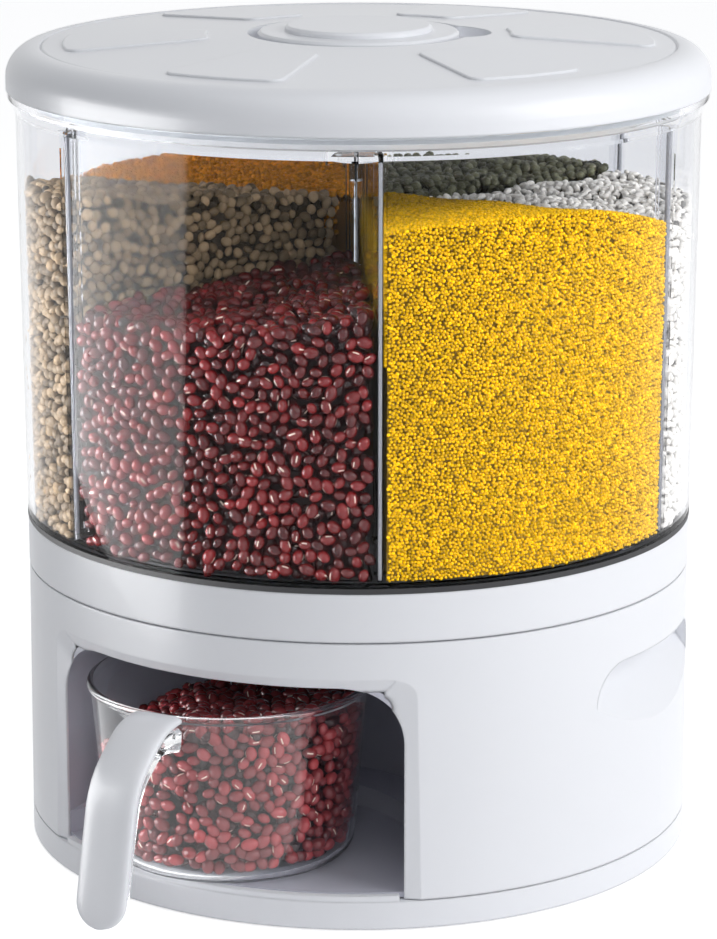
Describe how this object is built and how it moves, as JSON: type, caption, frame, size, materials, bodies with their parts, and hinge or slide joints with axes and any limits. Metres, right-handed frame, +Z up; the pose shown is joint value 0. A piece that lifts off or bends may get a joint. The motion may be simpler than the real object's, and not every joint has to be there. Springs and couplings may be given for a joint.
{
  "type": "rotating dry food dispenser",
  "caption": "Round dry food dispenser: clear compartment drum on a turntable over a white base with a measuring cup in a bay and a lift-off lid.",
  "frame": {"origin": "on the turning axis, at the height of the table", "axes": "+Z up along the turning axis, -Y towards the front with the cup bay"},
  "size_m": [0.26, 0.3146, 0.3072],
  "materials": {
    "white_plastic": "glossy white",
    "grey_plastic": "satin dark grey",
    "clear_plastic": "clear, glossy",
    "dark_rubber": "dark rubber",
    "pale_silicone": "pale silicone",
    "steel": "plain steel"
  },
  "bodies": {
    "base": {"base_shell": "white_plastic", "bay_liner": "grey_plastic", "bottom_tray": "white_plastic", "foot_ring": "dark_rubber", "base_screws": "steel", "turntable_deck": "white_plastic", "deck_screws": "steel", "gate_guide": "white_plastic", "outlet_chute": "grey_plastic", "retaining_washer": "steel", "pivot_screw": "steel"},
    "cage": {"ball_cage": "grey_plastic", "bearing_balls": "steel"},
    "turntable": {"turntable": "white_plastic", "pivot_bush": "grey_plastic"},
    "bin": {"clear_drum": "clear_plastic", "hopper_floor": "clear_plastic", "outlet_wipers": "dark_rubber", "divider_insert": "clear_plastic", "hub_cap": "white_plastic", "drum_gasket": "dark_rubber"},
    "lid": {"lid_shell": "white_plastic", "lid_plate": "white_plastic", "seal_carrier": "white_plastic", "lid_seal": "pale_silicone"},
    "cap": {"desiccant_cap": "white_plastic", "cap_seal": "pale_silicone", "desiccant_basket": "white_plastic"},
    "gate": {"gate_plate": "grey_plastic", "push_paddle": "grey_plastic", "gate_springs": "steel"},
    "cup": {"measuring_cup": "clear_plastic", "handle_cover": "white_plastic"}
  },
  "joints": [
    {"name": "turntable_spin", "type": "hinge", "parent": "base", "child": "turntable", "pos_m": [0, 0, 0.107], "axis": [0, 0, 1], "continuous": true},
    {"name": "cage_spin", "type": "hinge", "parent": "base", "child": "cage", "pos_m": [0, 0, 0.1035], "axis": [0, 0, 1], "continuous": true},
    {"name": "bin_lift", "type": "slide", "parent": "turntable", "child": "bin", "axis": [0, 0, 1], "range_m": [0, 0.06]},
    {"name": "lid_lift", "type": "slide", "parent": "bin", "child": "lid", "axis": [0, 0, 1], "range_m": [0, 0.06]},
    {"name": "cap_lift", "type": "slide", "parent": "lid", "child": "cap", "axis": [0, 0, 1], "range_m": [0, 0.06]},
    {"name": "gate_push", "type": "slide", "parent": "base", "child": "gate", "axis": [0, 1, 0], "range_m": [0, 0.011], "stiffness_N_per_m": 150, "springref_m": -0.004, "deforming": ["gate_springs"]},
    {"name": "cup_draw", "type": "slide", "parent": "gate", "child": "cup", "axis": [0, -1, 0], "range_m": [0, 0.25]}
  ],
  "couplings": [
    {"joint": "cage_spin", "follows": "turntable_spin", "ratio": 0.5}
  ]
}
